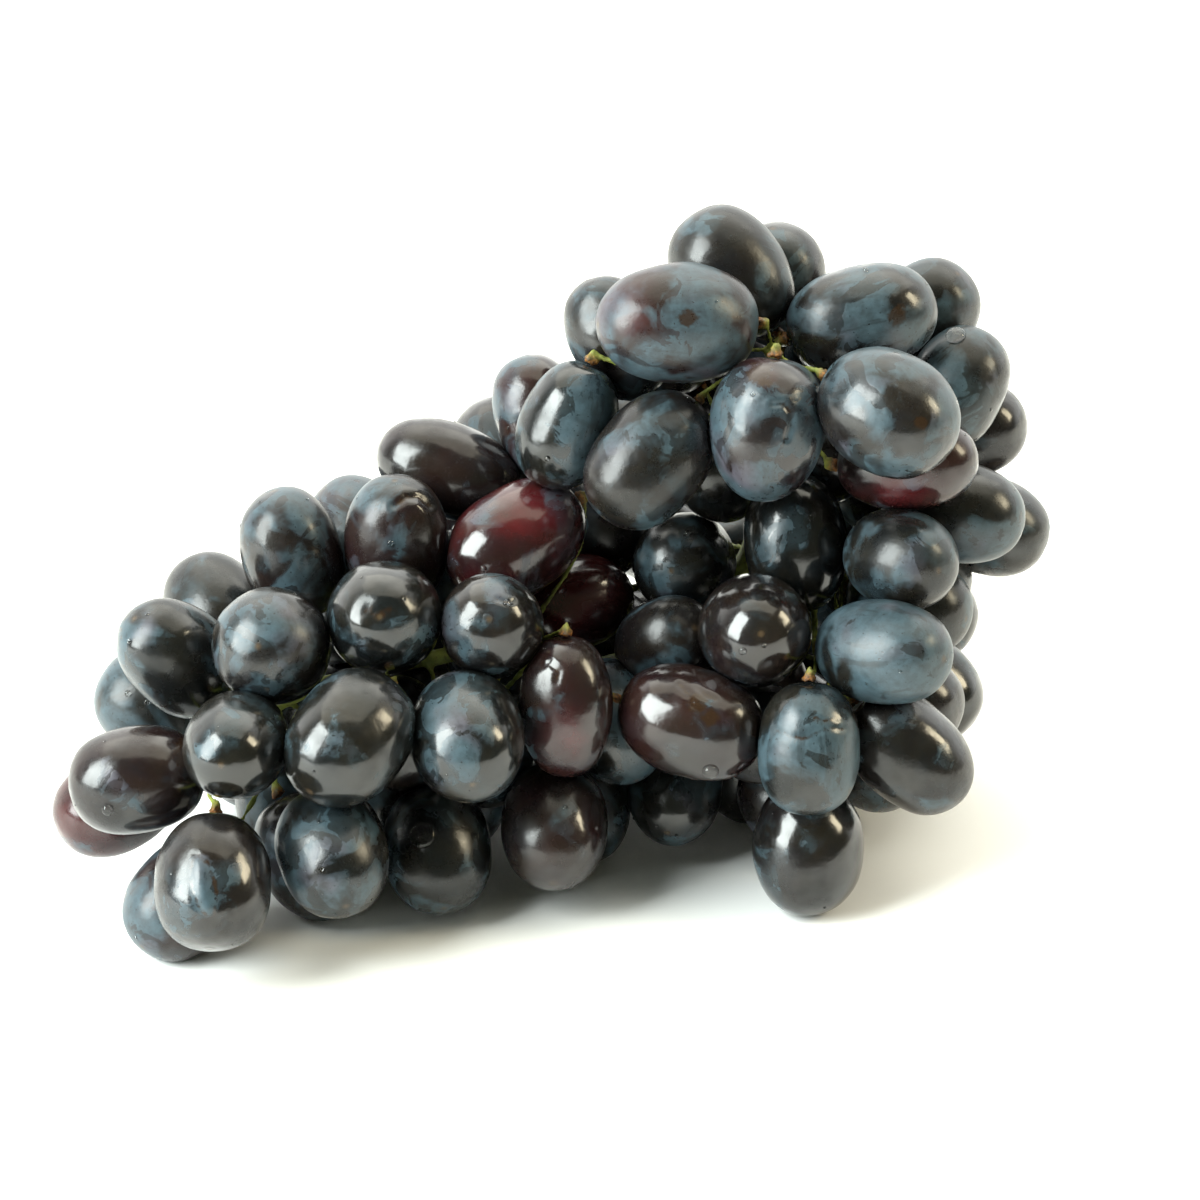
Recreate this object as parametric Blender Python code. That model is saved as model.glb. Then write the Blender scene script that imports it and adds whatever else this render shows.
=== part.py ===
"""A bunch of dark oval table grapes lying on its side, thick shoulder to +X and tapering wing to -X.

Every grape is a spheroid set by hand in millimetres, then pressed clear of its neighbours. The stem is
one grown piece: a rachis through the middle, with twigs that follow the gaps between the grapes.
"""

import heapq
import itertools
import math

import bmesh
import bpy
import numpy as np
from mathutils import Matrix, Vector

MM = 0.001

# Grapes, in millimetres.
GRAPE_GAP = 0.4  # clear space between neighbours
GROUP_GAP = -1.6  # two grapes of one group press into each other
FULL_SIDES, FULL_RINGS = 12, 8
HIDDEN_SIDES, HIDDEN_RINGS = 10, 6
HIDDEN_LENGTH, HIDDEN_WIDTH = 26.0, 20.0
DEEP_LENGTH, DEEP_WIDTH = 23.0, 18.5
DEEP_FROM = 3

# How the grapes are pressed clear of each other.
PRESS_ROUNDS = 260  # rounds in which each grape is also drawn towards its own place
SETTLE_ROUNDS = 90
PRESS_STEP = 0.6  # share of a push taken in one round
HOME_PULL = 0.06
GAP_ROUNDS = 13  # narrowing steps in the search for a gap

# Stem, in millimetres.
NECK_RADIUS = 1.7  # room kept free behind each grape for its stalk
NECK_REACH = 2.4
RACHIS_RADIUS = 2.2  # room kept round the rachis
STALK_RADIUS = 0.75
CUSHION_RADIUS = 1.7  # the swollen end that carries the grape
CUSHION_GAP = 0.45
CUSHION_LENGTH = 2.6
PEDUNCLE_RADIUS = 3.0
TWIG_RADIUS = 1.5
TIP_RADIUS = 1.2
TWIG_SWELL = 0.35  # power of the number of grapes carried, for a twig's radius
THINNEST = 0.8  # share of STALK_RADIUS that a squeezed twig keeps
STALK_ROOM = 1.15  # least distance from a stalk's centre line to a grape
BEAD_SPACING = 3.0
CELL = 1.5  # spacing of the grid on which the twigs grow
GRID_MARGIN = 12.0
AIR_REACH = 5.0  # how far outside the grapes a twig may run
EASE_ROUNDS = 14
EASE_STEP = 0.5
STALK_SIDES, CUSHION_SIDES, RACHIS_SIDES = 6, 8, 10
STEM_VOXEL = 0.55
STEM_KEEP = 0.034  # share of the remeshed stem's faces that stays
FAR = 1e9
TINY = 1e-6

# Each grape: centre, direction from its stem end to its blossom end, length, width.
GRAPES = {
    "crown": [
        ((37, 26, 114), (-6, 3, 7), 28, 21),
        ((27, 9, 113), (-10, -3, 1), 32, 23),
        ((63, 20, 108), (10, 2, 2), 30, 21),
        ((12, 18, 102), (-5, 2, 9), 26, 18),
        ((64, -10, 99), (9, -6, -3), 28.5, 23.5),
        ((42, -5, 95), (-1, -3, -9), 28, 22),
    ],
    "shoulder": [
        ((22, -3, 89), (-6, -5, -6), 29, 21.5),
        ((8, 6, 86), (-3, -2, -8), 26, 18.5),
        ((-4, 24, 83), (-2, 3, 8), 25, 17.5),
        ((-19, 20, 75), (-9, 1, 3), 30, 19),
        ((-5, 0, 69), (-8, -5, -4), 30, 21.5),
        ((8, 9, 51), (-8, -5, 0), 26, 19),
    ],
    "flank": [
        ((83, 23, 90), (4, 4, 6), 26, 19.5),
        ((73, 3, 82), (10, -3, 2), 28, 18.5),
        ((78, 12, 69), (10, -2, -1), 29, 20),
        ((71, -8, 66), (5, -8, 2), 25, 19.5),
        ((67, -22, 55), (8, -6, 2), 28, 20),
        ((73, -22, 33), (7, -2, -6), 28, 20),
        ((52, -33, 38), (0, -3, -9), 26, 19.5),
        ((53, -29, 13), (0, -3, -8), 27, 21.5),
    ],
    "hollow": [
        ((51, 6, 66), (1, -3, -9), 28, 20.5),
        ((42, -14, 55), (0.5, -9, 4), 28, 22),
        ((26, 18, 51), (-2, -9, 3), 27, 20),
        ((27, -27, 40), (10, -3, -2), 29, 21.5),
        ((2, -24, 46), (0, -2, -9), 28, 18),
    ],
    "foot": [
        ((-1, -28, 20), (0, -7, -4), 26, 20.5),
        ((26, -8, 16), (-1, -8, -2), 24, 18.5),
    ],
    "wing": [
        ((-30, 0, 66), (0, -1, 9), 27, 20.5),
        ((-52, 0, 64), (-2, 1, 8), 27, 19.5),
        ((-71, -20, 51), (-5, -3, 7), 27, 20),
        ((-53, -26, 55), (-1, -8, 4), 28, 22.5),
        ((-31, -24, 57), (0, -8, 4), 28, 22),
        ((-10, -20, 57), (0, -8, 5), 27, 20),
        ((-80, -4, 31), (-7, 1, 3), 26, 20.5),
        ((-79, -41, 35), (-10, -2, -1), 26, 20.5),
        ((-60, -46, 38), (-1, -9, 2), 27, 19.5),
        ((-41, -42, 42), (-5, -8, -4), 28, 22.5),
        ((-16, -38, 43), (1, -8, -2), 28, 22),
        ((-87, -25, 20), (-8, -4, -3), 25, 19.5),
        ((-62, -58, 27), (0, -6, -6), 26, 22),
        ((-70, -49, 11), (-4, -5, -3), 26, 20),
        ((-42, -45, 25), (2, -7, -3), 26, 21),
        ((-22, -28, 20), (1, -6, -4), 26, 21),
    ],
}

# Hidden and half-hidden grapes, in groups whose members press on the nearest one before them. Centre
# only. From the fourth on they lie deep inside and are smaller.
GROUPS = {
    "crown_back": [(47, 43, 106), (60, 52, 88), (75, 43, 104), (62, 32, 88), (56, 20, 75), (49, 66, 79)],
    "crown_rear": [(22, 40, 96), (38, 52, 82), (18, 52, 76), (20, 30, 76), (33, 19, 68)],
    "shoulder_back": [(-13, 36, 70), (2, 44, 56), (-8, 30, 48), (13, 25, 58), (-22, 44, 51)],
    "flank_back": [(87, 38, 74), (80, 56, 62), (66, 58, 44), (52, 42, 40), (56, 23, 42)],
    "flank_side": [(78, 42, 34), (76, 26, 48), (88, 33, 56), (70, 30, 68)],
    "flank_low": [(74, 6, 53), (75, -3, 38), (63, 7, 14)],
    "base_right": [(52, 30, 12), (70, 28, 14), (74, 12, 26)],
    "base_back": [(56, 50, 16), (38, 48, 14), (40, 56, 36), (20, 57, 42)],
    "base_middle": [(30, 28, 14), (20, 44, 28), (14, 26, 32), (8, 34, 13)],
    "base_front": [(42, -8, 30), (36, 12, 30), (39, 8, 11), (52, -6, 11)],
    "middle_low": [(9, -10, 11), (12, -4, 29), (4, 12, 14), (25, -2, 47)],
    "middle_back": [(-12, 12, 30), (-10, 30, 20), (-22, 26, 38), (-22, 12, 52)],
    "wing_back": [(-40, 20, 60), (-46, 22, 40), (-40, 24, 20), (-24, 32, 12)],
    "wing_rear": [(-69, 8, 49), (-62, 12, 28), (-62, 8, 11)],
    "wing_base": [(-47, -33, 10), (-58, -16, 12), (-36, -13, 12), (-15, -8, 12), (-12, -12, 30)],
    "wing_core": [(-24, 12, 12), (-44, 4, 16), (-26, -4, 28), (-34, -19, 32), (-53, -3, 32)],
}

# The rachis from the cut end to the tip, and its main side arms, as points on their centre lines.
RACHIS = [
    (64, 84, 66),
    (54, 60, 66),
    (47, 36, 62),
    (40, 25, 49),
    (24, 14, 35),
    (5, 2, 37),
    (-18, -8, 46),
    (-45, -14, 42),
    (-64, -20, 34),
]
ARMS = [
    [(47, 34, 61), (47, 24, 84), (45, 12, 101)],
    [(43, 26, 56), (57, 16, 56), (72, 17, 62)],
]

GRAPE_SKIN = (0.035, 0.025, 0.045)
STEM_GREEN = (0.28, 0.30, 0.09)


def material(name, colour, roughness):
    made = bpy.data.materials.new(name)
    made.use_nodes = True
    shader = made.node_tree.nodes["Principled BSDF"]
    shader.inputs["Base Color"].default_value = (*colour, 1)
    shader.inputs["Roughness"].default_value = roughness
    shader.inputs["Metallic"].default_value = 0
    return made


def unit(vector):
    vector = np.asarray(vector, float)
    return vector / np.linalg.norm(vector)


def nearest_on(points, place):
    """The point nearest to place on a chain of straight stretches."""
    points = np.asarray(points, float)
    starts = points[:-1]
    runs = points[1:] - starts
    share = ((place - starts) * runs).sum(1) / (runs**2).sum(1)
    feet = starts + np.clip(share, 0, 1)[:, None] * runs
    return feet[np.argmin(((feet - place) ** 2).sum(1))]


def gather_grapes():
    """All grapes as arrays, with the group name and place of each."""
    names, centres, axes, halves = [], [], [], []
    for region, rows in GRAPES.items():
        for number, (centre, direction, length, width) in enumerate(rows, 1):
            names.append((f"{region}_grape_{number}", 0))
            centres.append(centre)
            axes.append(unit(direction))
            halves.append((length / 2, width / 2))
    for group, rows in GROUPS.items():
        for number, centre in enumerate(rows):
            names.append((f"{group}_grapes", number))
            centres.append(centre)
            outward = np.array(centre) - nearest_on(RACHIS, np.array(centre, float))
            axes.append(unit(outward))
            if number < DEEP_FROM:
                halves.append((HIDDEN_LENGTH / 2, HIDDEN_WIDTH / 2))
            else:
                halves.append((DEEP_LENGTH / 2, DEEP_WIDTH / 2))
    return names, np.array(centres, float), np.array(axes), np.array(halves)


def spheroid_matrices(axes, halves):
    """For each grape the matrix M with x . inverse(M) x = 1 on its surface."""
    square = halves**2
    along = axes[:, :, None] * axes[:, None, :]
    return square[:, 1, None, None] * np.eye(3) + (square[:, 0] - square[:, 1])[:, None, None] * along


def gap_between(offsets, first, second):
    """Gap and facing direction of pairs of spheroids, found by swelling both until they touch."""
    low = np.zeros(len(offsets))
    high = np.ones(len(offsets))

    def swell(share):
        mixed = (1 - share)[:, None, None] * first + share[:, None, None] * second
        facing = np.linalg.solve(mixed, offsets[:, :, None])[:, :, 0]
        return share * (1 - share) * (offsets * facing).sum(1), facing

    for _ in range(GAP_ROUNDS):
        third = (high - low) / 3
        rising = swell(low + third)[0] < swell(high - third)[0]
        low = np.where(rising, low + third, low)
        high = np.where(rising, high, high - third)
    value, facing = swell((low + high) / 2)
    facing /= np.linalg.norm(facing, axis=1)[:, None]
    gap = (1 - 1 / np.sqrt(value)) * (offsets * facing).sum(1)
    return gap, facing


def beads_along(points, spacing):
    """The centres of beads that stand for a stretch of stem."""
    beads = []
    for start, end in zip(points[:-1], points[1:]):
        start = np.array(start, float)
        end = np.array(end, float)
        count = max(1, int(np.linalg.norm(end - start) / spacing))
        beads += [start + (end - start) * step / count for step in range(count + 1)]
    return np.array(beads)


def partners_of(names, centres):
    """For each member of a group the nearest earlier member, on which it presses, and -1 for the rest."""
    partners = np.full(len(names), -1)
    for index, (_, number) in enumerate(names):
        if number:
            spans = np.linalg.norm(centres[index - number : index] - centres[index], axis=1)
            partners[index] = index - number + np.argmin(spans)
    return partners


def press_apart(names, centres, axes, halves):
    """Moves the grapes until each is clear of the others, of their stalks' necks and of the rachis."""
    home = centres.copy()
    partners = partners_of(names, centres)
    count = len(centres)
    shapes = spheroid_matrices(axes, halves)
    neck_offset = -axes * (halves[:, :1] + NECK_REACH)
    beads = beads_along(RACHIS, BEAD_SPACING)
    bead_radii = np.full(len(beads), RACHIS_RADIUS)
    for arm in ARMS:
        more = beads_along(arm, BEAD_SPACING)
        beads = np.vstack([beads, more])
        bead_radii = np.append(bead_radii, np.full(len(more), TWIG_RADIUS))
    neck_shape = np.tile(np.eye(3) * NECK_RADIUS**2, (count, 1, 1))
    bead_shape = np.eye(3) * bead_radii[:, None, None] ** 2
    all_shapes = np.concatenate([shapes, neck_shape, bead_shape])
    reach = np.concatenate([halves[:, 0], np.full(count, NECK_RADIUS), bead_radii])
    owner = np.concatenate([np.arange(count), np.arange(count), np.full(len(beads), -1)])
    low_reach = np.sqrt(shapes[:, 2, 2])
    for turn in range(PRESS_ROUNDS + SETTLE_ROUNDS):
        places = np.vstack([centres, centres + neck_offset, beads])
        one, other = np.triu_indices(count, 1)
        one_more = np.repeat(np.arange(count), len(places) - count)
        other_more = np.tile(np.arange(count, len(places)), count)
        one = np.concatenate([one, one_more])
        other = np.concatenate([other, other_more])
        offsets = places[other] - places[one]
        near = np.linalg.norm(offsets, axis=1) < reach[one] + reach[other] + 1
        near &= owner[one] != owner[other]
        one = one[near]
        other = other[near]
        gap, facing = gap_between(offsets[near], all_shapes[one], all_shapes[other])
        wanted = np.full(len(gap), GRAPE_GAP)
        pressed = np.zeros(len(gap), bool)
        whole = np.flatnonzero(other < count)
        pressed[whole] = partners[other[whole]] == one[whole]
        wanted[pressed] = GROUP_GAP
        lack = wanted - gap
        lack[~pressed] = np.maximum(lack[~pressed], 0)
        fixed = owner[other] < 0
        shift = np.zeros_like(centres)
        np.add.at(shift, owner[one], -facing * (lack * np.where(fixed, 1, 0.5))[:, None])
        moving = ~fixed
        np.add.at(shift, owner[other][moving], facing[moving] * (lack[moving] * 0.5)[:, None])
        pull = HOME_PULL if turn < PRESS_ROUNDS else 0
        centres = centres + PRESS_STEP * shift + pull * (home - centres)
        centres[:, 2] = np.maximum(centres[:, 2], low_reach)
        # Group members that drifted out of each other's neighbourhood are drawn together again.
        for index in np.flatnonzero(partners >= 0):
            partner = partners[index]
            between = centres[index] - centres[partner]
            span = np.linalg.norm(between)
            limit = halves[index, 0] + halves[partner, 0]
            if span > limit:
                centres[index] -= between * (span - limit) / span / 2
                centres[partner] += between * (span - limit) / span / 2
    return centres


def way_out(points, rooms, centres, shapes):
    """How far each point must move to keep its room to every grape, and in which direction."""
    deepest = np.full(len(points), -FAR)
    way = np.zeros_like(points)
    for centre, shape in zip(centres, shapes):
        offset = points - centre
        facing = np.linalg.solve(shape, offset.T).T
        swell = np.sqrt((offset * facing).sum(1)) + TINY
        facing /= np.linalg.norm(facing, axis=1)[:, None] + TINY
        depth = rooms - (offset * facing).sum(1) * (1 - 1 / swell)
        deeper = depth > deepest
        deepest[deeper] = depth[deeper]
        way[deeper] = facing[deeper]
    return deepest, way


def open_cells(centres, shapes, halves):
    """A grid over the bunch, true where a stalk has room between the grapes."""
    low = centres.min(0) - GRID_MARGIN
    size = ((centres.max(0) + GRID_MARGIN - low) / CELL).astype(int) + 1
    places = low + np.indices(size).reshape(3, -1).T * CELL
    nearest = np.full(len(places), FAR)
    for centre, shape, half in zip(centres, shapes, halves):
        close = np.flatnonzero((np.abs(places - centre) < half[0] + AIR_REACH).all(1))
        offset = places[close] - centre
        facing = np.linalg.solve(shape, offset.T).T
        swell = np.sqrt((offset * facing).sum(1)) + TINY
        reach = (offset * facing).sum(1) / np.linalg.norm(facing, axis=1).clip(TINY)
        nearest[close] = np.minimum(nearest[close], reach * (1 - 1 / swell))
    return low, ((nearest > STALK_ROOM) & (nearest < AIR_REACH)).reshape(size)


def grow_twigs(tips, centres, shapes, halves):
    """A tree of points from the rachis through the gaps, with each point's parent and the tips' points."""
    low, free = open_cells(centres, shapes, halves)
    seeds = [beads_along(line, CELL) for line in [RACHIS[1:], *ARMS]]
    seeds = np.round((np.vstack(seeds) - low) / CELL).astype(int)
    goals = {tuple(cell) for cell in np.round((tips - low) / CELL).astype(int)}
    spent = {tuple(cell): 0.0 for cell in seeds}
    came = {}
    waiting = [(0.0, cell) for cell in spent]
    heapq.heapify(waiting)
    steps = [step for step in itertools.product((-1, 0, 1), repeat=3) if any(step)]
    done = set()
    while waiting and not goals <= done:
        length, cell = heapq.heappop(waiting)
        if cell in done:
            continue
        done.add(cell)
        for step in steps:
            following = tuple(place + move for place, move in zip(cell, step))
            inside = all(0 <= place < most for place, most in zip(following, free.shape))
            if not inside or not (free[following] or following in goals):
                continue
            longer = length + math.hypot(*step)
            if longer < spent.get(following, FAR):
                spent[following] = longer
                came[following] = cell
                heapq.heappush(waiting, (longer, following))
    place_of = {}
    parents = []
    ends = []
    for tip in np.round((tips - low) / CELL).astype(int):
        chain = [tuple(tip)]
        while chain[-1] in came:
            chain.append(came[chain[-1]])
        for cell in reversed(chain):
            if cell not in place_of:
                place_of[cell] = len(place_of)
                parents.append(place_of[came[cell]] if cell in came else -1)
        ends.append(place_of[tuple(tip)])
    return low + np.array(list(place_of)) * CELL, np.array(parents), ends


def ease(points, parents, fixed, rooms, centres, shapes):
    """Evens out the tree's bends and keeps it clear of the grapes."""
    children = np.flatnonzero(parents >= 0)
    for _ in range(EASE_ROUNDS):
        total = np.zeros_like(points)
        count = np.zeros(len(points))
        np.add.at(total, children, points[parents[children]])
        np.add.at(count, children, 1)
        np.add.at(total, parents[children], points[children])
        np.add.at(count, parents[children], 1)
        moved = points + EASE_STEP * (total / np.maximum(count, 1)[:, None] - points)
        lack, way = way_out(moved, rooms, centres, shapes)
        moved += way * np.maximum(lack, 0)[:, None]
        points = np.where(fixed[:, None], points, moved)
    return points


def add_tube(bm, start, end, start_radius, end_radius, sides):
    """A closed tapered tube between two points, with a ball over its far end."""
    run = Vector(end) - Vector(start)
    turn = run.to_track_quat("Z", "Y").to_matrix().to_4x4()
    middle = Matrix.Translation((Vector(start) + Vector(end)) / 2 * MM) @ turn
    bmesh.ops.create_cone(
        bm,
        cap_ends=True,
        segments=sides,
        radius1=start_radius * MM,
        radius2=end_radius * MM,
        depth=run.length * MM,
        matrix=middle,
    )
    ball = Matrix.Translation(Vector(end) * MM)
    bmesh.ops.create_icosphere(bm, subdivisions=1, radius=end_radius * MM, matrix=ball)


def make_stem(centres, axes, halves):
    """The stem as overlapping tubes, made one skin by a remesh."""
    shapes = spheroid_matrices(axes, halves)
    tips = centres - axes * (halves[:, :1] + NECK_REACH)
    points, parents, ends = grow_twigs(tips, centres, shapes, halves)
    load = np.zeros(len(points))
    for end in ends:
        while end >= 0:
            load[end] += 1
            end = parents[end]
    radii = np.minimum(STALK_RADIUS * load**TWIG_SWELL, TWIG_RADIUS)
    fixed = parents < 0
    fixed[ends] = True
    points = ease(points, parents, fixed, np.full(len(points), STALK_ROOM), centres, shapes)
    lack, _ = way_out(points, np.zeros(len(points)), centres, shapes)
    radii = np.clip(-lack - GRAPE_GAP, STALK_RADIUS * THINNEST, radii)
    bm = bmesh.new()
    for child in np.flatnonzero(parents >= 0):
        parent = parents[child]
        add_tube(bm, points[parent], points[child], radii[parent], radii[child], STALK_SIDES)
    for end, centre, axis, half in zip(ends, centres, axes, halves):
        pole = centre - axis * (half[0] + CUSHION_GAP)
        neck = pole - axis * CUSHION_LENGTH
        add_tube(bm, points[end], neck, radii[end], STALK_RADIUS, STALK_SIDES)
        add_tube(bm, pole, neck, CUSHION_RADIUS, STALK_RADIUS, CUSHION_SIDES)
    branches = [(RACHIS, PEDUNCLE_RADIUS, TIP_RADIUS)]
    branches += [(arm, TWIG_RADIUS, TWIG_RADIUS) for arm in ARMS]
    for line, thick, thin in branches:
        wide = np.linspace(thick, thin, len(line))
        for start, end, first, second in zip(line[:-1], line[1:], wide[:-1], wide[1:]):
            add_tube(bm, start, end, first, second, RACHIS_SIDES)
    mesh = bpy.data.meshes.new("stem")
    bm.to_mesh(mesh)
    bm.free()
    stem = bpy.data.objects.new("stem", mesh)
    remesh = stem.modifiers.new("one skin", "REMESH")
    remesh.mode = "VOXEL"
    remesh.voxel_size = STEM_VOXEL * MM
    remesh.use_smooth_shade = True
    fewer = stem.modifiers.new("fewer faces", "DECIMATE")
    fewer.ratio = STEM_KEEP
    fewer.use_collapse_triangulate = True
    return stem


def make_grape(name, centre, axis, half, sides, rings):
    """One spheroid with its poles at its stem end and its blossom end."""
    bm = bmesh.new()
    bmesh.ops.create_uvsphere(bm, u_segments=sides, v_segments=rings, radius=half[1] * MM)
    bmesh.ops.scale(bm, verts=bm.verts, vec=(1, 1, half[0] / half[1]))
    mesh = bpy.data.meshes.new(name)
    bm.to_mesh(mesh)
    bm.free()
    mesh.shade_smooth()
    grape = bpy.data.objects.new(name, mesh)
    grape.location = Vector(centre) * MM
    grape.rotation_mode = "QUATERNION"
    grape.rotation_quaternion = Vector(axis).to_track_quat("Z", "Y")
    return grape


def make_grapes(names, centres, axes, halves, skin):
    """The grapes, those of one group joined into one body."""
    made = []
    groups = {}
    for (name, number), centre, axis, half in zip(names, centres, axes, halves):
        grouped = name.endswith("grapes")
        sides, rings = (HIDDEN_SIDES, HIDDEN_RINGS) if grouped else (FULL_SIDES, FULL_RINGS)
        helper = f"{name}_{number}" if number else name
        grape = make_grape(helper, centre, axis, half, sides, rings)
        bpy.context.scene.collection.objects.link(grape)
        grape.data.materials.append(skin)
        made.append(grape)
        if number == 0:
            groups[name] = grape
            continue
        grape.hide_render = True
        grape.display_type = "WIRE"
        union = groups[name].modifiers.new(helper, "BOOLEAN")
        union.operation = "UNION"
        union.object = grape
    return made


def shift_to_origin(objects):
    """The move that puts the origin under the middle of the bunch, on the surface it rests on."""
    bpy.context.view_layer.update()
    graph = bpy.context.evaluated_depsgraph_get()
    corners = []
    for obj in objects:
        shown = obj.evaluated_get(graph)
        mesh = shown.to_mesh()
        corners += [shown.matrix_world @ vertex.co for vertex in mesh.vertices]
        shown.to_mesh_clear()
    corners = np.array(corners)
    low = corners.min(0)
    high = corners.max(0)
    return Vector((-(low[0] + high[0]) / 2, -(low[1] + high[1]) / 2, -low[2]))


def main():
    for obj in list(bpy.data.objects):
        bpy.data.objects.remove(obj, do_unlink=True)
    names, centres, axes, halves = gather_grapes()
    centres = press_apart(names, centres, axes, halves)
    skin = material("grape skin", GRAPE_SKIN, 0.3)
    made = make_grapes(names, centres, axes, halves, skin)
    stem = make_stem(centres, axes, halves)
    bpy.context.scene.collection.objects.link(stem)
    stem.data.materials.append(material("stem", STEM_GREEN, 0.7))
    made.append(stem)
    bunch = bpy.data.objects.new("bunch", None)
    bpy.context.scene.collection.objects.link(bunch)
    for obj in made:
        obj.parent = bunch
    bunch.location = shift_to_origin([obj for obj in made if not obj.hide_render])


main()
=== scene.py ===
import math

import bmesh
import bpy
import numpy as np
from mathutils import Matrix, Vector, kdtree, noise


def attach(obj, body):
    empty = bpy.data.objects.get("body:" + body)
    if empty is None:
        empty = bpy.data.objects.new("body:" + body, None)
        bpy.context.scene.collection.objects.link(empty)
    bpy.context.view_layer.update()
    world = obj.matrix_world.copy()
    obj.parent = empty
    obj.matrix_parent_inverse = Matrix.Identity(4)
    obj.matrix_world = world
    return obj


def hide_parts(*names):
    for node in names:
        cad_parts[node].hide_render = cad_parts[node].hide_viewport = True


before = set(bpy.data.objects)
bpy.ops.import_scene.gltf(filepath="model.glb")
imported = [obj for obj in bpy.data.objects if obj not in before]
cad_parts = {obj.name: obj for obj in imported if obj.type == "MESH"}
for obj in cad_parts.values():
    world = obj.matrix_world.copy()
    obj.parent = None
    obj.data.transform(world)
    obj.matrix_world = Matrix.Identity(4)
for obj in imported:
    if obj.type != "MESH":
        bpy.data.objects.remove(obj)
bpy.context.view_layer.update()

mm = 0.001

# where the bunch is looked at from, in degrees and mm, with the view's own right and up
viewing = {"azimuth": 1.0, "elevation": 26.0, "distance": 850.0, "lens": 126.0, "aim": (8.2, -9.9, 56.4)}
turn = math.radians(viewing["azimuth"])
tilt = math.radians(viewing["elevation"])
toRight = np.array([math.cos(turn), math.sin(turn), 0.0])
toViewer = np.array([math.sin(turn) * math.cos(tilt), -math.cos(turn) * math.cos(tilt), math.sin(tilt)])
toTop = np.cross(toViewer, toRight)

# reading the frame: grapes that share a solid meet in creases
reading = {"weld": 0.002, "creaseAngle": -0.1, "fewestPoints": 12}


def mergedCopy(nodeName):
    copy = bmesh.new()
    copy.from_mesh(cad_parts[nodeName].data)
    bmesh.ops.remove_doubles(copy, verts=copy.verts, dist=reading["weld"] * mm)
    return copy


def smoothPatches(copy):
    # each patch between creases is one grape
    creases = set()
    for edge in copy.edges:
        if len(edge.link_faces) == 2 and edge.calc_face_angle_signed(0) < reading["creaseAngle"]:
            creases.add(edge)
    left = set(copy.faces)
    patches = []
    while left:
        patch = {left.pop()}
        front = list(patch)
        while front:
            face = front.pop()
            for edge in face.edges:
                if edge in creases:
                    continue
                for near in edge.link_faces:
                    if near in left:
                        left.remove(near)
                        patch.add(near)
                        front.append(near)
        corners = {vert for face in patch for vert in face.verts}
        inner = [vert.co for vert in corners if not any(edge in creases for edge in vert.link_edges)]
        if len(inner) > reading["fewestPoints"]:
            patches.append(np.array(inner) / mm)
    return patches


def fitOval(points):
    # least squares through the patch's points: centre, long axis, half length, half width
    middle = points.mean(0)
    x, y, z = (points - middle).T
    rows = np.stack([x * x, y * y, z * z, 2 * x * y, 2 * x * z, 2 * y * z, x, y, z], 1)
    a, b, c, d, e, f, g, h, k = np.linalg.lstsq(rows, np.ones(len(points)), rcond=None)[0]
    form = np.array([[a, d, e], [d, b, f], [e, f, c]])
    shift = -np.linalg.solve(form, [g, h, k]) / 2
    values, vectors = np.linalg.eigh(form / (1 + shift @ form @ shift))
    halves = 1 / np.sqrt(values)
    return middle + shift, vectors[:, 0], halves[0], (halves[1] + halves[2]) / 2


stemCopy = mergedCopy("stem")
stemTree = kdtree.KDTree(len(stemCopy.verts))
for index, vert in enumerate(stemCopy.verts):
    stemTree.insert(vert.co / mm, index)
stemTree.balance()

berries = []
for nodeName in sorted(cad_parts):
    if nodeName == "stem":
        continue
    copy = mergedCopy(nodeName)
    found = sorted(smoothPatches(copy), key=lambda points: tuple(points.mean(0)))
    for number, points in enumerate(found):
        centre, axis, halfLength, halfWidth = fitOval(points)
        # the axis runs from the stalk to the blossom end
        if stemTree.find(centre + axis * halfLength)[2] < stemTree.find(centre - axis * halfLength)[2]:
            axis = -axis
        spread = halfWidth**2 * np.eye(3) + (halfLength**2 - halfWidth**2) * np.outer(axis, axis)
        berries.append({
            "node": nodeName, "number": number, "centre": centre, "axis": axis,
            "halfLength": halfLength, "halfWidth": halfWidth, "form": np.linalg.inv(spread),
        })
    copy.free()
print("grapes read from the frame:", len(berries))

# the grapes' shapes, in mm
berryShape = {
    "segments": 72, "rings": 50, "fineSegments": 176, "fineRings": 120,
    "swell": 0.42,  # beyond the frame's oval, so that neighbours press on each other
    "seamGap": 0.05,  # between two pressed skins
    "pressSoftness": 0.10,
    "deepestPress": 1.7,
    "pressReach": 3,  # neighbours further off than this aren't felt
    "leastOpposed": 0.7,  # keeps skins that run side by side from being pushed too far
    "tableGap": 0.06,
    "bluntness": (2.10, 2.34),
    "taper": 0.035,
    "lumps": 0.26, "lumpSize": 8.0,
    "ripples": 0.035, "rippleSize": 2.4, "rippleSeed": 91,
    "stalkDimple": 0.7, "stalkDimpleRadius": 2.6,
    "scarRadius": 0.75, "scarWidth": 0.32, "scarRise": 0.10, "scarDot": 0.55,
    "dentShare": 0.6, "dentDepth": (0.12, 0.4), "dentRadius": (2.0, 4.2),
    "dentForward": 0.8,  # dents lie more often in front
    "creaseLip": 0.25, "creaseLipAt": 1.9, "creaseFade": 4,
    "patternShift": 500,  # so that no two grapes carry the same pattern
}

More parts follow.
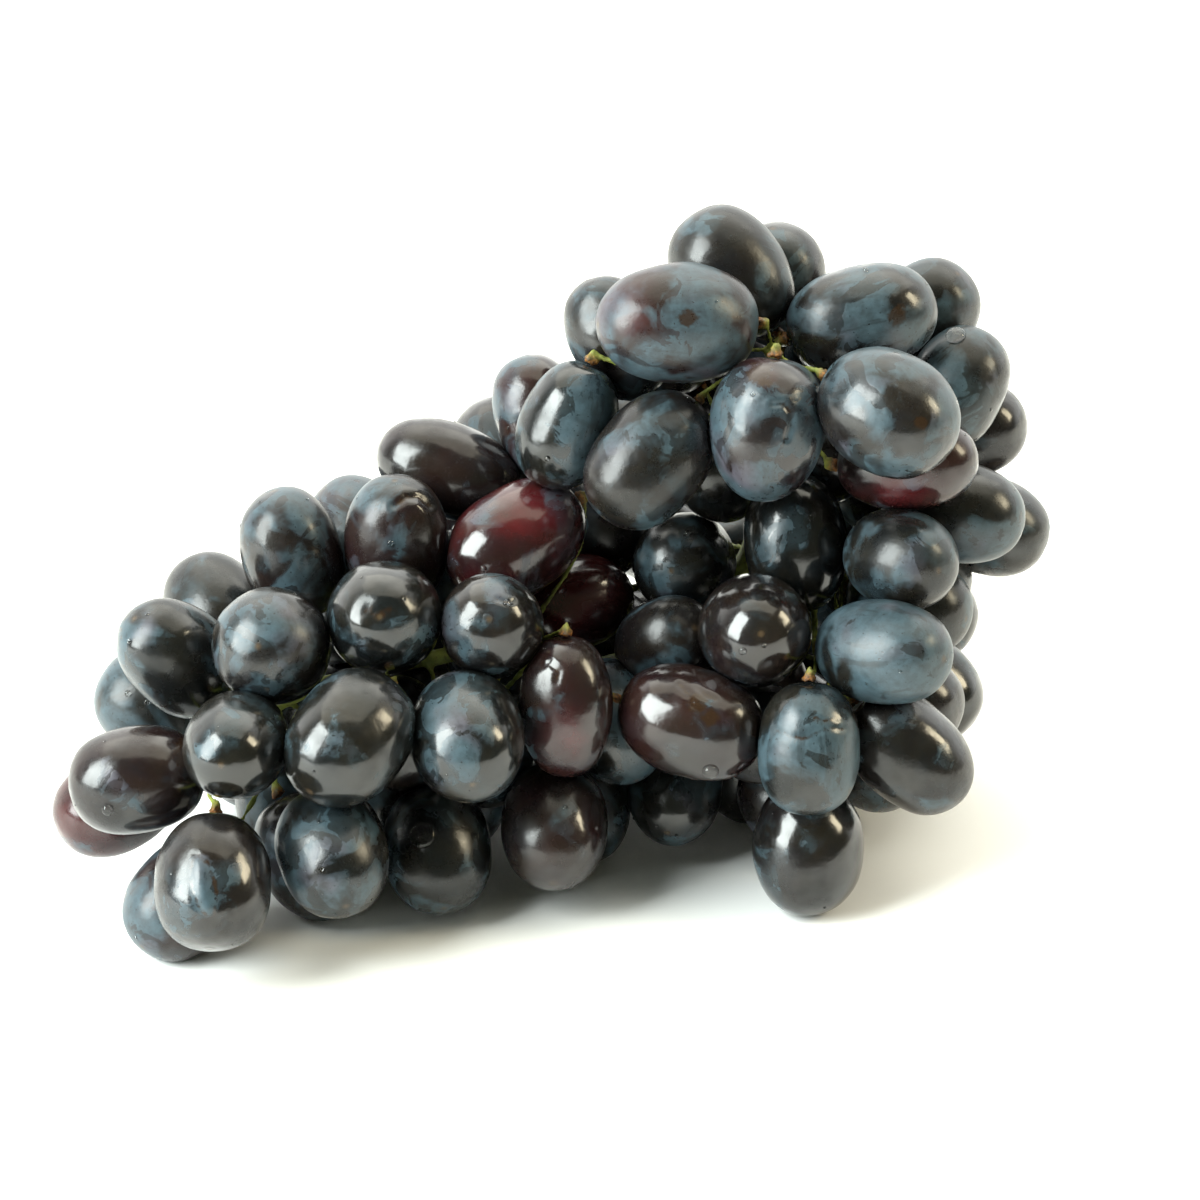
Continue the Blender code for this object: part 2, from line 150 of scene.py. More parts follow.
# creases, and blisters with a negative depth, as points right and up of the grape's middle
wrinkles = {
    "crown_grape_6": [
        dict(line=[(0.6, 4.4), (2.8, 4.6), (4.3, 2.6), (4.2, 0.2), (3.4, -2.2)], width=0.6, depth=0.34),
    ],
    "wing_grape_1": [dict(line=[(0.2, 6.6), (2.4, 8.3), (5.0, 8.3), (7.0, 6.6)], width=0.8, depth=0.45)],
    "wing_grape_13": [
        dict(
            line=[(-2.6, 5.4), (-3.3, 2.6), (-2.9, -0.5), (-1.8, -3.6), (-0.2, -5.8)],
            width=0.8, depth=0.13,
        ),
        dict(line=[(-1.8, 5.8), (0.2, 4.2), (1.3, 1.2), (2.0, -2.0), (1.2, -5.4)], width=0.8, depth=0.11),
        dict(line=[(-1.7, 4.2), (-1.2, 1.4), (-0.6, -1.6), (0.2, -4.0)], width=1.5, depth=-0.2),
    ],
    "flank_grape_7": [
        dict(
            line=[(-6.6, 3.6), (-4.2, 2.6), (-1.6, 2.2), (0.8, 3.2), (3.4, 4.4), (6.4, 4.0)],
            width=0.7, depth=0.13,
        ),
        dict(line=[(0.4, 6.4), (2.6, 5.6), (5.2, 6.0)], width=0.6, depth=0.08),
    ],
    "hollow_grape_4": [
        dict(line=[(-2.4, 7.6), (-0.6, 5.8), (-0.2, 3.8), (2.2, 2.4), (4.2, 0.6)], width=0.7, depth=0.14),
        dict(line=[(0.8, 7.0), (2.6, 5.6), (4.6, 4.8)], width=0.6, depth=0.10),
    ],
    "wing_grape_5": [dict(line=[(-2.4, 1.4), (-0.4, 0.6), (2.0, 1.2)], width=1.6, depth=0.32)],
    "wing_grape_6": [dict(line=[(1.4, 5.4), (3.0, 4.8), (4.4, 4.9)], width=0.55, depth=0.2)],
    "hollow_grape_5": [dict(line=[(-3.2, 8.8), (-1.2, 7.2), (-1.6, 5.2)], width=0.8, depth=0.22)],
    "shoulder_grape_3": [dict(line=[(-3.8, -1.2), (-2.2, -3.6), (-2.4, -6.2)], width=0.8, depth=0.26)],
}


def noiseAt(places, size, seed):
    # each seed reads another part of the noise
    offset = Vector((seed * 7.31, seed * 3.17, seed * 5.77))
    return np.array([noise.noise(Vector(place) / size + offset) for place in places])


def ovalDistance(places, berry):
    # signed distance in mm from a grape's oval, close to exact near its skin, and the way out
    offset = places - berry["centre"]
    facing = offset @ berry["form"]
    size = np.sqrt((offset * facing).sum(1)).clip(1e-6)
    length = np.linalg.norm(facing, axis=1).clip(1e-9)
    return size * (size - 1) / length, facing / length[:, None]


def lineDistance(flat, line):
    line = np.array(line)
    nearest = np.full(len(flat), np.inf)
    for start, end in zip(line[:-1], line[1:]):
        run = end - start
        share = ((flat - start) @ run / (run @ run)).clip(0, 1)
        away = np.linalg.norm(flat - start - share[:, None] * run, axis=1)
        nearest = np.minimum(nearest, away)
    return nearest


def bell(away, radius):
    # one in the middle, fading out round it
    return np.exp(-((away / radius) ** 2))


def softPush(amount):
    # the part above zero, with a rounded start
    soft = berryShape["pressSoftness"]
    return soft * np.logaddexp(0, amount / soft)


def bluntOval(berry, skin, draw):
    # the sphere's points made a blunt oval, a little thicker towards one end, and stood on its axis
    shape = berryShape
    unit = np.array([vert.co for vert in skin.verts])
    blunt = 2 / draw.uniform(*shape["bluntness"])
    across = np.linalg.norm(unit[:, :2], axis=1)
    along = np.sign(unit[:, 2]) * np.abs(unit[:, 2]) ** blunt
    around = unit[:, :2] / across.clip(1e-9)[:, None] * (across**blunt)[:, None]
    around *= (1 + draw.normal(0, shape["taper"]) * along)[:, None]
    local = np.column_stack([
        around * (berry["halfWidth"] + shape["swell"]),
        along * (berry["halfLength"] + shape["swell"]),
    ])
    turnTo = Vector(berry["axis"]).to_track_quat("Z", "Y").to_matrix()
    turnTo = np.array(turnTo @ Matrix.Rotation(draw.uniform(0, 2 * math.pi), 3, "Z"))
    return local, along, local @ turnTo.T + berry["centre"]


def wrinkleMarks(berry, places, outward):
    # how far the wrinkles lift the skin, and the shares of crease and blister
    shape = berryShape
    lift = np.zeros(len(places))
    crease = np.zeros(len(places))
    blister = np.zeros(len(places))
    fromMiddle = places - berry["centre"]
    flat = np.column_stack([fromMiddle @ toRight, fromMiddle @ toTop])
    inFront = np.clip(outward @ toViewer * shape["creaseFade"], 0, 1)
    for mark in wrinkles.get(berry["node"], []):
        away = lineDistance(flat, mark["line"]) / mark["width"]
        shown = inFront * bell(away, 1)
        lip = inFront * shape["creaseLip"] * bell(away - shape["creaseLipAt"], 1)
        lift -= mark["depth"] * (shown - lip)
        if mark["depth"] > 0:
            crease = np.maximum(crease, shown)
        else:
            blister = np.maximum(blister, shown)
    return lift, crease, blister


def pressOnNeighbours(berry, places):
    # each skin stops half-way to the neighbour that presses on it
    own, ownFacing = ovalDistance(places, berry)
    push = np.zeros(len(places))
    for other in berries:
        if other is berry:
            continue
        span = np.linalg.norm(other["centre"] - berry["centre"])
        if span > other["halfLength"] + berry["halfLength"] + berryShape["pressReach"]:
            continue
        theirs, theirFacing = ovalDistance(places, other)
        opposed = (1 - (ownFacing * theirFacing).sum(1)).clip(berryShape["leastOpposed"], 2)
        need = (own + berryShape["seamGap"] - theirs) / opposed
        push = np.maximum(push, softPush(need) * (theirs < berryShape["pressReach"]))
    return places - ownFacing * np.minimum(push, berryShape["deepestPress"])[:, None]


def shapeBerry(berry, seed):
    shape = berryShape
    draw = np.random.default_rng(seed)
    fine = berry["node"] in wrinkles and berry["number"] == 0
    skin = bmesh.new()
    bmesh.ops.create_uvsphere(
        skin,
        u_segments=shape["fineSegments"] if fine else shape["segments"],
        v_segments=shape["fineRings"] if fine else shape["rings"],
        radius=1.0,
    )
    local, along, places = bluntOval(berry, skin, draw)
    outward = ovalDistance(places, berry)[1]
    poleReach = np.hypot(local[:, 0], local[:, 1])
    # slow lumps, fine ripples, the dimple round the stalk and the scar at the blossom end
    lift = shape["lumps"] * noiseAt(places, shape["lumpSize"], seed)
    lift += shape["ripples"] * noiseAt(places, shape["rippleSize"], seed + shape["rippleSeed"])
    lift -= shape["stalkDimple"] * (along < 0) * bell(poleReach, shape["stalkDimpleRadius"])
    lift += shape["scarRise"] * (along > 0) * bell(poleReach - shape["scarRadius"], shape["scarWidth"])
    if draw.random() < shape["dentShare"]:
        toward = draw.normal(size=3)
        toward[1] -= shape["dentForward"]
        spot = places[np.argmax(outward @ toward)]
        radius = draw.uniform(*shape["dentRadius"])
        lift -= draw.uniform(*shape["dentDepth"]) * bell(np.linalg.norm(places - spot, axis=1), radius)
    marked, crease, blister = wrinkleMarks(berry, places, outward)
    places = pressOnNeighbours(berry, places + outward * (lift + marked)[:, None])
    # and rests flat where it meets the table
    places[:, 2] = shape["tableGap"] + softPush(places[:, 2] - shape["tableGap"])
    for vert, place in zip(skin.verts, places):
        vert.co = place * mm
    mesh = bpy.data.meshes.new(berry["node"])
    skin.to_mesh(mesh)
    skin.free()
    mesh.shade_smooth()
    local += draw.uniform(-shape["patternShift"], shape["patternShift"], 3)
    return mesh, places, {
        "place": local, "crease": crease, "blister": blister,
        "scar": bell(poleReach * np.where(along > 0, 1, 1e3), shape["scarDot"]),
    }


# how each grape looks: share of bloom, of red, and of wet gloss
berryLooks = {
    "crown_grape_1": (0.40, 0.02, 0.1), "crown_grape_2": (0.72, 0.14, 0.1),
    "crown_grape_3": (0.60, 0.02, 0.4), "crown_grape_4": (0.50, 0.03, 0.3),
    "crown_grape_5": (0.58, 0.02, 0.4), "crown_grape_6": (0.66, 0.09, 0.5),
    "shoulder_grape_1": (0.42, 0.03, 0.2), "shoulder_grape_2": (0.55, 0.00, 0.5),
    "shoulder_grape_3": (0.62, 0.18, 0.5), "shoulder_grape_4": (0.26, 0.08, 0.5),
    "shoulder_grape_5": (0.46, 0.46, 0.8), "shoulder_grape_6": (0.15, 0.50, 0.7),
    "flank_grape_1": (0.52, 0.00, 0.2), "flank_grape_2": (0.54, 0.18, 0.4),
    "flank_grape_3": (0.60, 0.00, 0.2), "flank_grape_4": (0.50, 0.00, 0.2),
    "flank_grape_5": (0.84, 0.00, 0.0), "flank_grape_6": (0.42, 0.03, 0.4),
    "flank_grape_7": (0.64, 0.00, 0.4), "flank_grape_8": (0.34, 0.03, 0.6),
    "hollow_grape_1": (0.34, 0.00, 0.8), "hollow_grape_2": (0.26, 0.05, 1.0),
    "hollow_grape_3": (0.48, 0.00, 0.3), "hollow_grape_4": (0.22, 0.13, 0.7),
    "hollow_grape_5": (0.26, 0.16, 0.5),
    "foot_grape_1": (0.32, 0.10, 0.4), "foot_grape_2": (0.42, 0.00, 0.2),
    "wing_grape_1": (0.50, 0.10, 0.3), "wing_grape_2": (0.58, 0.07, 0.3),
    "wing_grape_3": (0.52, 0.00, 0.4), "wing_grape_4": (0.50, 0.02, 0.4),
    "wing_grape_5": (0.34, 0.00, 0.6), "wing_grape_6": (0.46, 0.03, 0.7),
    "wing_grape_7": (0.82, 0.00, 0.1), "wing_grape_8": (0.34, 0.09, 0.5),
    "wing_grape_9": (0.42, 0.00, 0.6), "wing_grape_10": (0.46, 0.00, 0.5),
    "wing_grape_11": (0.46, 0.00, 0.6), "wing_grape_12": (0.40, 0.50, 0.3),
    "wing_grape_13": (0.36, 0.03, 0.5), "wing_grape_14": (0.66, 0.10, 0.2),
    "wing_grape_15": (0.56, 0.00, 0.3), "wing_grape_16": (0.50, 0.00, 0.4),
}
hiddenLooks = {
    "bloom": (0.3, 0.62), "red": [0.0, 0.04, 0.12], "redOdds": [0.6, 0.25, 0.15], "wet": (0.1, 0.5),
    "seed": 1000,
}
# the first share is painted shade along the creases: how strongly they take the stain brown and lose their
# bloom
markStrength = {"paintedCreaseShade": 0.55, "blisterBloom": 0.6, "redPatch": 0.5}

# brown and red patches, as places right and up of the grape's middle with their radius, in mm
brownPatches = {
    "crown_grape_2": [(2.0, 0.2, 2.2)], "crown_grape_3": [(6.6, 0.0, 2.4)],
    "crown_grape_6": [(-1.6, 10.5, 3.0)], "hollow_grape_4": [(1.2, 4.0, 2.4), (3.6, 1.2, 2.0)],
    "wing_grape_8": [(11.0, 5.6, 3.6)], "crown_grape_5": [(5.4, -2.6, 1.6)],
}
redPatches = {
    "shoulder_grape_3": [(-1.0, -10.5, 5.0)], "shoulder_grape_5": [(3.0, 4.0, 6.0)],
    "crown_grape_6": [(-1.6, 11.5, 3.0)], "crown_grape_2": [(-11.0, 0.5, 5.0)],
    "flank_grape_2": [(-2.0, -6.0, 6.0)], "hollow_grape_5": [(1.0, -6.0, 5.0)],
}


def patchShare(flat, patches):
    share = np.zeros(len(flat))
    for right, up, radius in patches:
        share = np.maximum(share, bell(np.hypot(flat[:, 0] - right, flat[:, 1] - up), radius))
    return share


def addAttribute(mesh, name, values, kind="FLOAT"):
    layer = mesh.attributes.new(name, kind, "POINT")
    field = "vector" if kind == "FLOAT_VECTOR" else "value"
    layer.data.foreach_set(field, np.asarray(values, np.float32).ravel())


# helpers for the materials' nodes

def newMaterial(name):
    made = bpy.data.materials.new(name)
    made.use_nodes = True
    return made, made.node_tree, made.node_tree.nodes["Principled BSDF"]


def newGroup(name, inputs, outputs):
    group = bpy.data.node_groups.new(name, "ShaderNodeTree")
    for title, kind, value in inputs:
        socket = group.interface.new_socket(title, in_out="INPUT", socket_type=kind)
        if value is not None:
            socket.default_value = value
    for title, kind in outputs:
        group.interface.new_socket(title, in_out="OUTPUT", socket_type=kind)
    return group, group.nodes.new("NodeGroupInput"), group.nodes.new("NodeGroupOutput")


def addNode(tree, kind, settings=None, **inputs):
    # an input is a value or an output socket to link, named by its title, or by i and its number
    node = tree.nodes.new(kind)
    for name, value in (settings or {}).items():
        setattr(node, name, value)
    for name, value in inputs.items():
        byNumber = name[0] == "i" and name[1:].isdigit()
        socket = node.inputs[int(name[1:]) if byNumber else name.replace("_", " ")]
        if isinstance(value, bpy.types.NodeSocket):
            tree.links.new(value, socket)
        else:
            socket.default_value = value
    return node


def mathNode(tree, operation, first, second):
    return addNode(tree, "ShaderNodeMath", {"operation": operation}, i0=first, i1=second).outputs[0]


def mixValues(tree, share, first, second):
    return addNode(tree, "ShaderNodeMix", None, i0=share, i2=first, i3=second).outputs[0]


def mixColours(tree, share, first, second):
    first, second = [
        value if isinstance(value, bpy.types.NodeSocket) else (*value, 1) for value in (first, second)
    ]
    mix = addNode(tree, "ShaderNodeMix", {"data_type": "RGBA"}, i0=share, i6=first, i7=second)
    return mix.outputs[2]


def noiseNode(tree, place, scale, detail=3.0, roughness=0.55, distortion=0.0):
    return addNode(
        tree, "ShaderNodeTexNoise", None,
        Vector=place, Scale=scale, Detail=detail, Roughness=roughness, Distortion=distortion,
    ).outputs[0]


def rampNode(tree, value, low, high, lowest=0.0, highest=1.0):
    # a smooth step from low to high; the limits may be sockets
    return addNode(
        tree, "ShaderNodeMapRange", {"interpolation_type": "SMOOTHSTEP"},
        i0=value, i1=low, i2=high, i3=lowest, i4=highest,
    ).outputs[0]


def noiseStep(tree, place, step, lowest=0.0, highest=1.0, **pattern):
    return rampNode(tree, noiseNode(tree, place, **pattern), *step, lowest, highest)


def attributeNode(tree, name, output="Fac"):
    return addNode(tree, "ShaderNodeAttribute", {"attribute_name": name}).outputs[output]


def linkBump(tree, shader, height, strength, distance):
    bump = addNode(tree, "ShaderNodeBump", None, Height=height, Strength=strength, Distance=distance)
    tree.links.new(bump.outputs[0], shader.inputs["Normal"])


bloomLook = {
    "blue": (0.045, 0.075, 0.092), "lilac": (0.066, 0.063, 0.079),
    "level": (0.64, 0.28),  # where the drifts start, on a grape without bloom and on a full one
    "drifts": dict(scale=0.082, detail=4.0, roughness=0.5, distortion=0.5), "softEdge": 0.13,
    "wiped": dict(scale=0.115, detail=5.0, roughness=0.52, distortion=1.1),
    "wipedStart": 0.02, "wipedEdge": 0.016, "wipedShare": 0.34,
    "squeeze": (1.0, 1.0, 0.2),
    "streaks": dict(scale=0.34, detail=6.0, roughness=0.6, distortion=0.3, step=(0.36, 0.44), lowest=0.6),
    "specks": dict(scale=1.5, detail=2.0, roughness=0.5, step=(0.27, 0.34), lowest=0.25),
    "mottle": dict(scale=0.42, detail=7.0, roughness=0.66, step=(0.28, 0.72), lowest=0.5, highest=0.95),
    "haze": dict(scale=0.2, detail=5.0, roughness=0.6, step=(0.3, 0.75), lowest=0.01, highest=0.05),
    "dust": dict(scale=3.2, detail=3.0, roughness=0.6, step=(0.60, 0.70), highest=0.14),
    "tint": dict(scale=0.08, detail=2.0),
}


def bloomGroup():
    # the dusty wax lies in soft drifts, partly wiped thin with sharper edges, streaks and specks
    look = bloomLook
    group, given, out = newGroup(
        "dusty bloom",
        [("Place", "NodeSocketVector", None), ("Amount", "NodeSocketFloat", 0.5)],
        [("Mask", "NodeSocketFloat"), ("Height", "NodeSocketFloat"), ("Tint", "NodeSocketFloat")],
    )
    place = given.outputs["Place"]
    least, most = look["level"]
    level = addNode(
        group, "ShaderNodeMapRange", None, i0=given.outputs["Amount"], i1=0.0, i2=1.0, i3=least, i4=most,
    ).outputs[0]
    drifts = noiseNode(group, place, **look["drifts"])
    mask = rampNode(group, drifts, level, mathNode(group, "ADD", level, look["softEdge"]))
    wipedFrom = mathNode(group, "ADD", level, look["wipedStart"])
    wipedTo = mathNode(group, "ADD", wipedFrom, look["wipedEdge"])
    kept = rampNode(group, noiseNode(group, place, **look["wiped"]), wipedFrom, wipedTo, look["wipedShare"])
    squeezed = addNode(group, "ShaderNodeMapping", None, Vector=place, Scale=look["squeeze"]).outputs[0]
    streaks = noiseStep(group, squeezed, **look["streaks"])
    specks = noiseStep(group, place, **look["specks"])
    mottle = noiseStep(group, place, **look["mottle"])
    for share in (kept, streaks, specks, mottle):
        mask = mathNode(group, "MULTIPLY", mask, share)
    dust = mathNode(group, "MULTIPLY", noiseStep(group, place, **look["dust"]), streaks)
    haze = mathNode(group, "ADD", noiseStep(group, place, **look["haze"]), dust)
    group.links.new(mathNode(group, "MAXIMUM", mask, haze), out.inputs["Mask"])
    group.links.new(mask, out.inputs["Height"])
    group.links.new(noiseNode(group, place, **look["tint"]), out.inputs["Tint"])
    return group


skinLook = {
    "black": (0.0040, 0.0040, 0.0038), "brown": (0.0090, 0.0072, 0.0046), "red": (0.075, 0.0060, 0.0075),
    # the brown of real stains, also used with the steps below as painted shade along the creases
    "stainAndCreaseShade": (0.024, 0.012, 0.005), "scar": (0.060, 0.040, 0.022),
    "clouds": dict(scale=0.13, detail=4.0, roughness=0.6, step=(0.38, 0.66)),
    "redClouds": dict(scale=0.075, step=(0.32, 0.62), lowest=0.3),
    "ragged": dict(scale=0.7, detail=5.0, roughness=0.6, step=(0.0, 1.0), lowest=-0.4, highest=0.4),
    "stainAndShadeStep": (0.35, 0.7), "stainAndShadeStrength": 0.8, "stainAndShadeBare": 0.85,
    "redToLilac": 0.3, "lilacStep": (0.52, 0.76),
    "wetSpread": 0.55, "wetPatches": dict(scale=0.09), "wetStep": (0.6, 0.9),
    "smear": dict(scale=0.3, detail=5.0, roughness=0.6, step=(0.3, 0.75), highest=0.08),
    "dryRoughness": 0.255, "wetRoughness": 0.15, "bloomRoughness": 0.40,
    "refraction": 1.46, "shine": 0.5, "waterCoat": 0.5, "coatRoughness": 0.10,
    "pores": dict(scale=1.6, detail=5.0, roughness=0.6), "poreHeight": 0.2,
    "waves": dict(scale=0.5, detail=2.0, roughness=0.5), "waveHeight": 0.8,
    "waxHeight": 0.2, "bumpStrength": 0.5, "bumpDepth": 0.16 * mm,
}


def skinColour(tree, place, dusty):
    # black clouded with brown and, on some grapes, red; real brown stain patches and painted shade along
    # the creases, both free of bloom; then the bloom
    look = skinLook
    red = attributeNode(tree, "redShare")
    colour = mixColours(tree, noiseStep(tree, place, **look["clouds"]), look["black"], look["brown"])
    redShare = mathNode(tree, "MULTIPLY", red, noiseStep(tree, place, **look["redClouds"]))
    colour = mixColours(tree, redShare, colour, look["red"])
    ragged = noiseStep(tree, place, **look["ragged"])
    # real brown stain patches together with the painted crease shade, both turned brown and bare of bloom
    stainAndCreaseShade = mathNode(tree, "ADD", attributeNode(tree, "stainAndCreaseShadeShare"), ragged)
    stainAndShadeMask = rampNode(tree, stainAndCreaseShade, *look["stainAndShadeStep"])
    strength = mathNode(tree, "MULTIPLY", stainAndShadeMask, look["stainAndShadeStrength"])
    colour = mixColours(tree, strength, colour, look["stainAndCreaseShade"])
    bare = mathNode(tree, "SUBTRACT", 1.0, mathNode(tree, "MULTIPLY", stainAndShadeMask, look["stainAndShadeBare"]))
    mask = mathNode(tree, "MULTIPLY", dusty.outputs["Mask"], bare)
    redder = mathNode(tree, "MULTIPLY", red, look["redToLilac"])
    lilac = rampNode(tree, mathNode(tree, "ADD", dusty.outputs["Tint"], redder), *look["lilacStep"])
    colour = mixColours(tree, mask, colour, mixColours(tree, lilac, bloomLook["blue"], bloomLook["lilac"]))
    return mixColours(tree, attributeNode(tree, "scarShare"), colour, look["scar"]), mask


def makeSkin():
    made, tree, shader = newMaterial("dark grape skin")
    look = skinLook
    place = attributeNode(tree, "berryPlace", "Vector")
    amount = attributeNode(tree, "bloomShare")
    dusty = addNode(tree, "ShaderNodeGroup", {"node_tree": bloomGroup()}, Place=place, Amount=amount)
    colour, mask = skinColour(tree, place, dusty)
    tree.links.new(colour, shader.inputs["Base Color"])
    # wet grapes shine harder, dusty ones softer
    wetness = mathNode(tree, "MULTIPLY", attributeNode(tree, "wetShare"), look["wetSpread"])
    wetPatches = noiseNode(tree, place, **look["wetPatches"])
    wet = rampNode(tree, mathNode(tree, "ADD", wetPatches, wetness), *look["wetStep"])
    dry = mathNode(tree, "ADD", noiseStep(tree, place, **look["smear"]), look["dryRoughness"])
    clean = mixValues(tree, wet, dry, look["wetRoughness"])
    tree.links.new(mixValues(tree, mask, clean, look["bloomRoughness"]), shader.inputs["Roughness"])
    coat = mathNode(tree, "MULTIPLY", wet, mathNode(tree, "SUBTRACT", 1.0, mask))
    tree.links.new(mathNode(tree, "MULTIPLY", coat, look["waterCoat"]), shader.inputs["Coat Weight"])
    shader.inputs["Coat Roughness"].default_value = look["coatRoughness"]
    shader.inputs["IOR"].default_value = look["refraction"]
    shader.inputs["Specular IOR Level"].default_value = look["shine"]
    pores = mathNode(tree, "MULTIPLY", noiseNode(tree, place, **look["pores"]), look["poreHeight"])
    waves = mathNode(tree, "MULTIPLY", noiseNode(tree, place, **look["waves"]), look["waveHeight"])
    waxy = mathNode(tree, "MULTIPLY", dusty.outputs["Height"], look["waxHeight"])
    height = mathNode(tree, "ADD", mathNode(tree, "ADD", pores, waves), waxy)
    linkBump(tree, shader, height, look["bumpStrength"], look["bumpDepth"])
    return made


def berryPieceName(berry):
    if not berry["node"].endswith("_grapes"):
        return berry["node"] + "_skin"
    return berry["node"].replace("_grapes", "_grape") + "_" + "abcdef"[berry["number"]] + "_skin"


def makeBerryPieces():
    skin = makeSkin()
    facesMade = 0
    for seed, berry in enumerate(berries):
        mesh, places, marks = shapeBerry(berry, seed)
        draw = np.random.default_rng(hiddenLooks["seed"] + seed)
        if berry["number"] == 0 and berry["node"] in berryLooks:
            bloom, red, wet = berryLooks[berry["node"]]
        else:
            bloom = draw.uniform(*hiddenLooks["bloom"])
            red = draw.choice(hiddenLooks["red"], p=hiddenLooks["redOdds"])
            wet = draw.uniform(*hiddenLooks["wet"])
        fromMiddle = places - berry["centre"]
        flat = np.column_stack([fromMiddle @ toRight, fromMiddle @ toTop])
        inFront = fromMiddle @ toViewer > 0
        stainAndCreaseShade = inFront * patchShare(flat, brownPatches.get(berry["node"], []))
        reddened = inFront * patchShare(flat, redPatches.get(berry["node"], []))
        addAttribute(mesh, "berryPlace", marks["place"], "FLOAT_VECTOR")
        addAttribute(mesh, "bloomShare", bloom + markStrength["blisterBloom"] * marks["blister"])
        addAttribute(mesh, "redShare", red + markStrength["redPatch"] * reddened)
        addAttribute(mesh, "wetShare", np.full(len(places), wet))
        # real brown patches, and painted shade along the creases
        addAttribute(mesh, "stainAndCreaseShadeShare", np.maximum(markStrength["paintedCreaseShade"] * marks["crease"], stainAndCreaseShade))
        addAttribute(mesh, "scarShare", marks["scar"])
        mesh.materials.append(skin)
        piece = bpy.data.objects.new(berryPieceName(berry), mesh)
        bpy.context.scene.collection.objects.link(piece)
        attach(piece, "root")
        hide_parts(berry["node"])
        berry["places"] = places
        facesMade += len(mesh.polygons)
    print("grape skins made:", len(berries), "with", facesMade, "faces")


makeBerryPieces()

# the stem, in mm
stemLook = {
    "voxel": 0.42, "smoothRounds": 3, "smoothFactor": 0.5,
    "knots": 0.22, "knotSize": 2.6, "bark": 0.07, "barkSize": 0.7,
    "warts": 1.15, "wartSize": 0.9, "wartStart": 0.12, "cushionReach": 2.7,
    "woodReach": 26, "woodShare": 0.75, "cutReach": 7.5, "cutFacing": 0.8,
    "green": (0.135, 0.165, 0.022), "pale": (0.27, 0.31, 0.055),
    "brown": (0.070, 0.034, 0.011), "rust": (0.24, 0.092, 0.016),
    "wood": (0.20, 0.125, 0.060), "cut": (0.46, 0.40, 0.22),
    "blotches": dict(scale=0.22, detail=4.0, roughness=0.6, step=(0.35, 0.68)),
    "barkPatches": dict(scale=0.9, detail=5.0, roughness=0.7, step=(0.52, 0.68), highest=0.7),
    "wartPatches": dict(scale=1.3, detail=4.0, roughness=0.7, step=(0.42, 0.6)), "rustStep": (0.15, 0.75),
    "gloss": dict(scale=0.8, step=(0.3, 0.7), lowest=0.42, highest=0.7),
    "grain": dict(scale=2.4, detail=5.0, roughness=0.7), "bumpStrength": 0.7, "bumpDepth": 0.25 * mm,
}


def makeStemMaterial():
    made, tree, shader = newMaterial("green-brown stem")
    look = stemLook
    place = addNode(
        tree, "ShaderNodeMapping", None,
        Vector=addNode(tree, "ShaderNodeTexCoord").outputs["Object"], Scale=(1 / mm, 1 / mm, 1 / mm),
    ).outputs[0]
    colour = mixColours(tree, noiseStep(tree, place, **look["blotches"]), look["green"], look["pale"])
    colour = mixColours(tree, noiseStep(tree, place, **look["barkPatches"]), colour, look["brown"])
    rust = mixColours(tree, noiseStep(tree, place, **look["wartPatches"]), look["brown"], look["rust"])
    rusty = rampNode(tree, attributeNode(tree, "rustShare"), *look["rustStep"])
    colour = mixColours(tree, rusty, colour, rust)
    colour = mixColours(tree, attributeNode(tree, "woodShare"), colour, look["wood"])
    colour = mixColours(tree, attributeNode(tree, "cutShare"), colour, look["cut"])
    tree.links.new(colour, shader.inputs["Base Color"])
    tree.links.new(noiseStep(tree, place, **look["gloss"]), shader.inputs["Roughness"])
    linkBump(tree, shader, noiseNode(tree, place, **look["grain"]), look["bumpStrength"], look["bumpDepth"])
    return made


def evenSkin(piece):
    # the frame's stem remeshed finely and smoothed, so that the bark can be shaped
    remesh = piece.modifiers.new("even skin", "REMESH")
    remesh.mode = "VOXEL"
    remesh.voxel_size = stemLook["voxel"] * mm
    soften = piece.modifiers.new("soften", "SMOOTH")
    soften.factor = stemLook["smoothFactor"]
    soften.iterations = stemLook["smoothRounds"]
    bpy.context.view_layer.update()
    coarse = piece.data
    mesh = bpy.data.meshes.new_from_object(piece.evaluated_get(bpy.context.evaluated_depsgraph_get()))
    piece.modifiers.clear()
    piece.data = mesh
    bpy.data.meshes.remove(coarse)
    mesh.name = "stem_bark"
    return mesh


def readVectors(mesh, field):
    values = np.empty(len(mesh.vertices) * 3, np.float32)
    mesh.vertices.foreach_get(field, values)
    return values.reshape(-1, 3)


